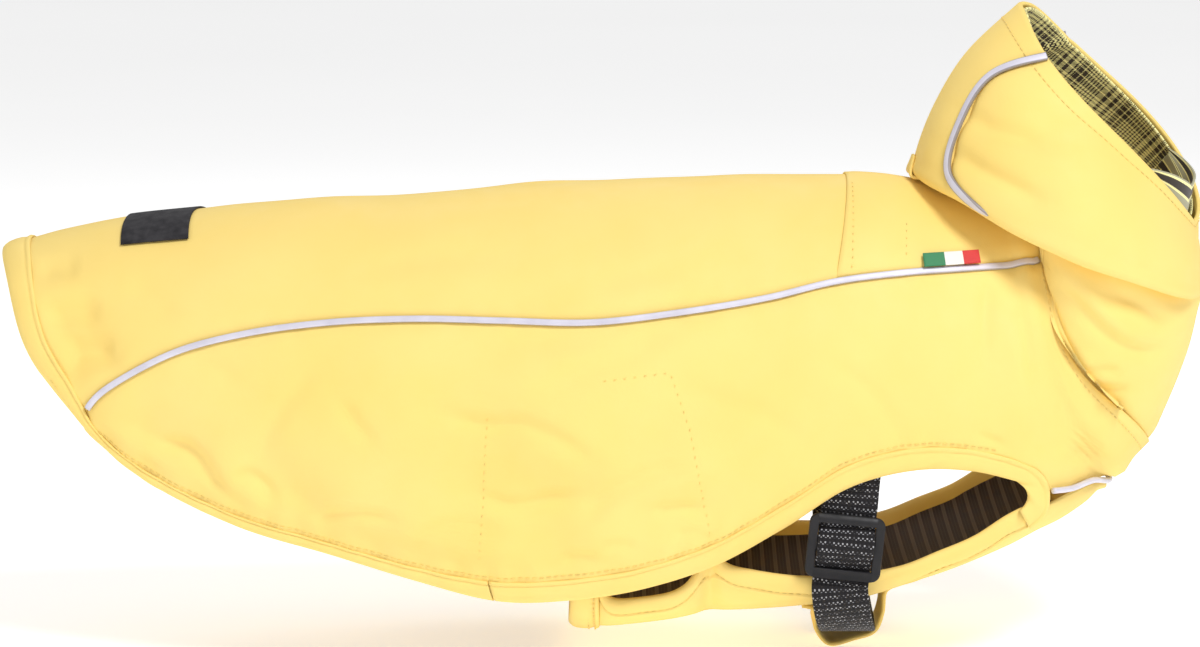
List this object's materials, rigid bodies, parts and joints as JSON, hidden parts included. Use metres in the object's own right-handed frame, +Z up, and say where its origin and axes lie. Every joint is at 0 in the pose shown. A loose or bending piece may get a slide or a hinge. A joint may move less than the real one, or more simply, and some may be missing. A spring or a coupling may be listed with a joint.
{
  "type": "dog raincoat",
  "caption": "Worn, filled-out soft-shell dog raincoat with a lined hood, belly panel, leg holes and a webbing chest strap with a slider.",
  "frame": {"origin": "inner face of the back panel over the withers, where the dog's back carries the coat", "axes": "+X to the head, -Y to the coat's right side, +Z up"},
  "size_m": [0.4791, 0.1408, 0.2579],
  "materials": {
    "cloth": "matt pale yellow soft-shell cloth",
    "piping": "pale grey reflective piping",
    "plaid": "woven plaid lining, pale yellow and near black",
    "dark": "dark brown striped lining",
    "webbing": "black woven webbing",
    "plastic": "black moulded plastic",
    "label": "black woven patch, bare",
    "flag": "woven ribbon in green, white and red"
  },
  "bodies": {
    "root": {"back_panel": "cloth", "shoulder_yoke": "cloth", "hem_band": "cloth", "side_panel_right": "cloth", "side_panel_left": "cloth", "leg_band_right": "cloth", "leg_band_left": "cloth", "back_piping_right": "piping", "back_piping_left": "piping", "belly_edge_band_right": "cloth", "belly_edge_band_left": "cloth", "belly_side_band_right": "cloth", "belly_side_band_left": "cloth", "hood_side_right": "cloth", "hood_side_left": "cloth", "hood_piping_right": "piping", "hood_piping_left": "piping", "chest_piping": "piping", "belly_panel": "cloth", "belly_rear_band": "cloth", "belly_lining": "dark", "hood_crown": "cloth", "hood_lining": "plaid", "throat_lining": "plaid", "hood_tab": "cloth", "tail_label": "label", "flag_tab": "flag", "chest_strap": "webbing", "belt_loop": "cloth", "slider_buckle": "plastic"}
  },
  "joints": []
}
